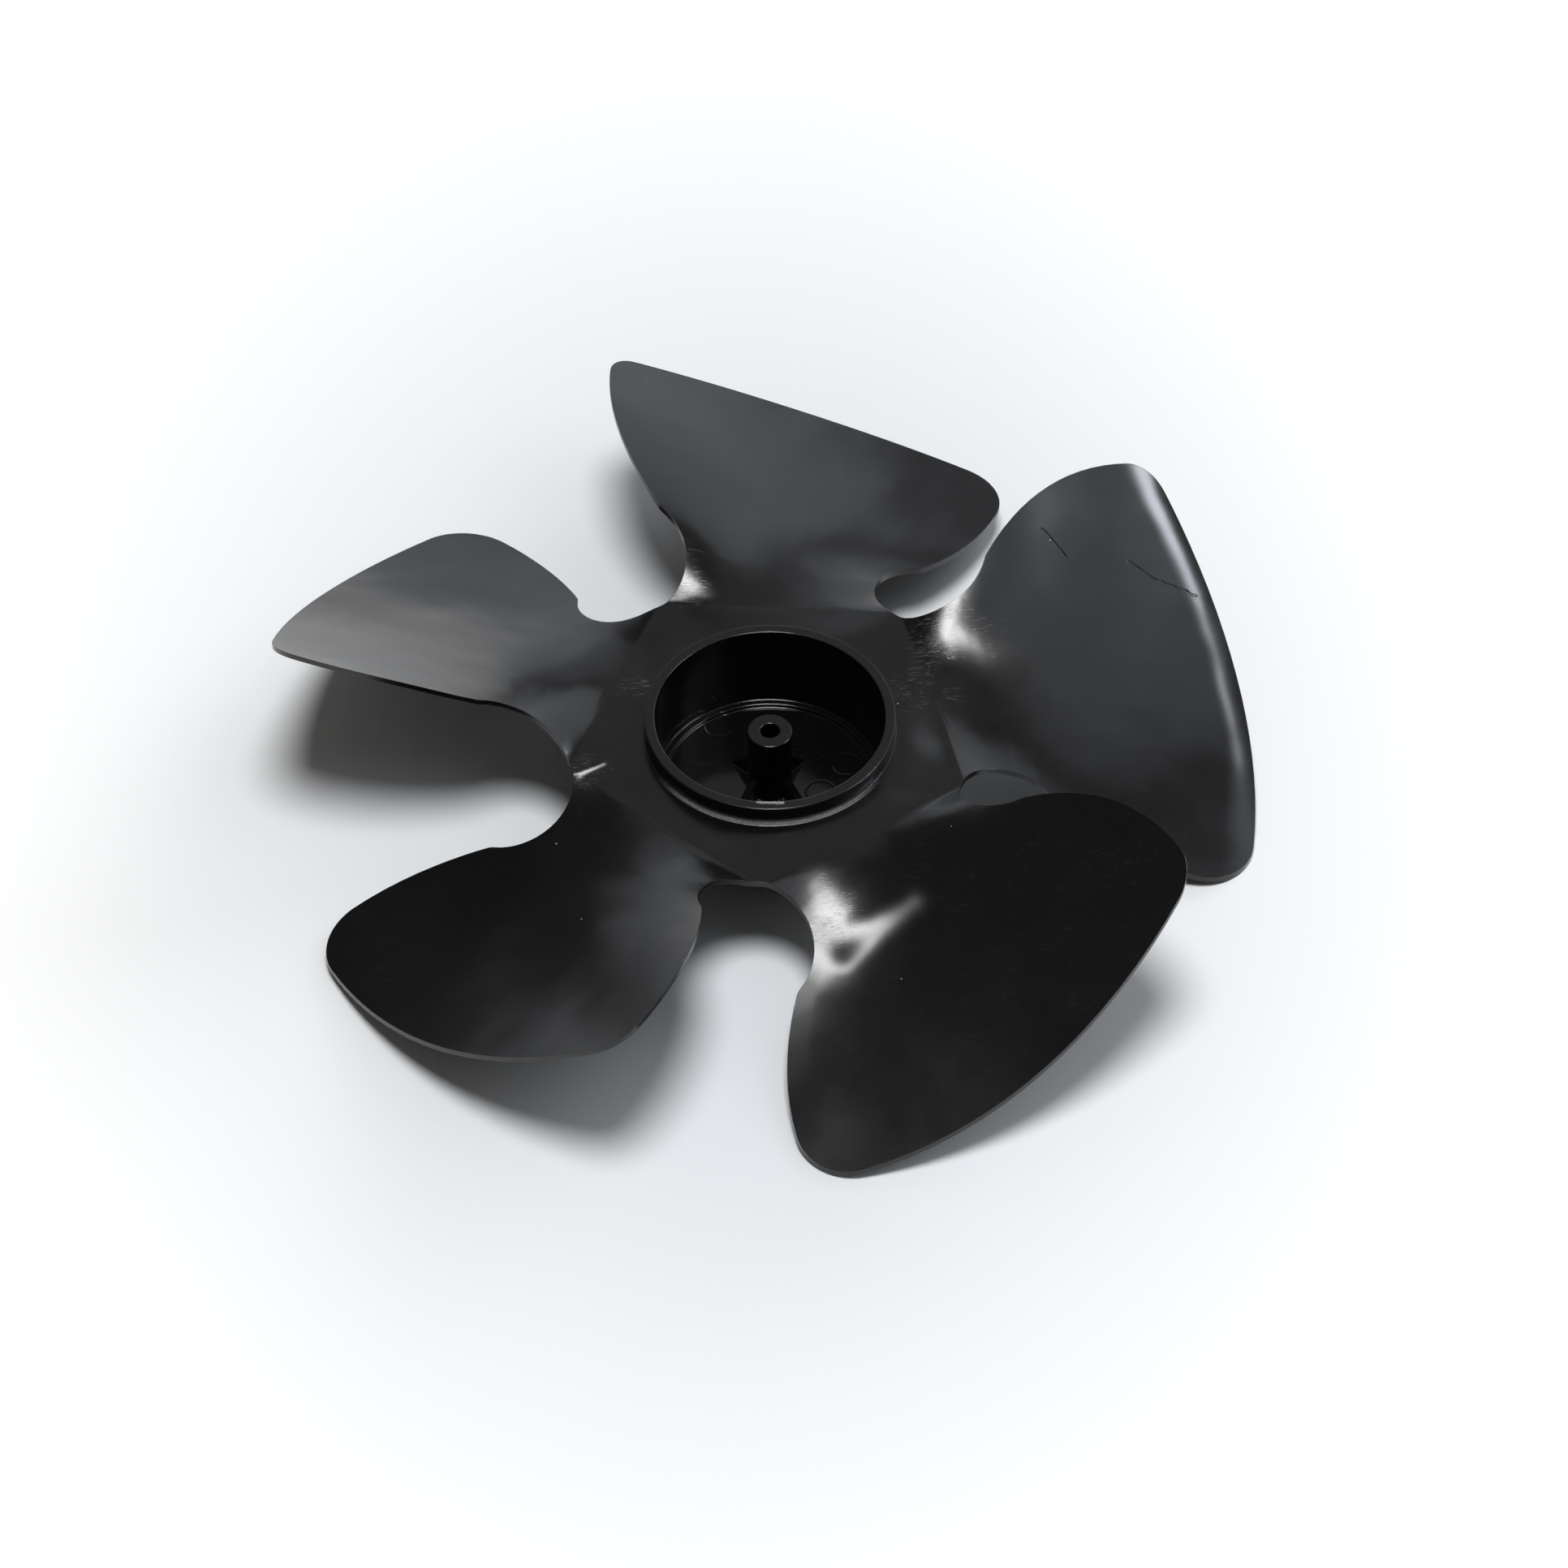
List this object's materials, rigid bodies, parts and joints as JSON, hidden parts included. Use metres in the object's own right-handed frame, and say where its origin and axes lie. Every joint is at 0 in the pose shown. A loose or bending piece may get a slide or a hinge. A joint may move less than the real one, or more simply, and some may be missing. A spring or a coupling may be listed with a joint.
{
  "type": "refrigerator condenser fan blade",
  "caption": "Moulded plastic axial fan blade for a refrigerator's condenser: pitched paddle blades on a flat web round a deep hub cup, whose ribbed boss takes the motor shaft.",
  "frame": {"origin": "on the shaft axis, in the plane of the hub cup's underside, at the bore's lower end", "axes": "+Z along the shaft axis towards the cup's open end; the back blade lies nearly along +Y; +X to the right as seen from the front and above"},
  "size_m": [0.2, 0.1984, 0.0494],
  "materials": {
    "black_plastic": "satin black moulding, worn"
  },
  "bodies": {
    "root": {"fan_blade": "black_plastic"}
  },
  "joints": []
}
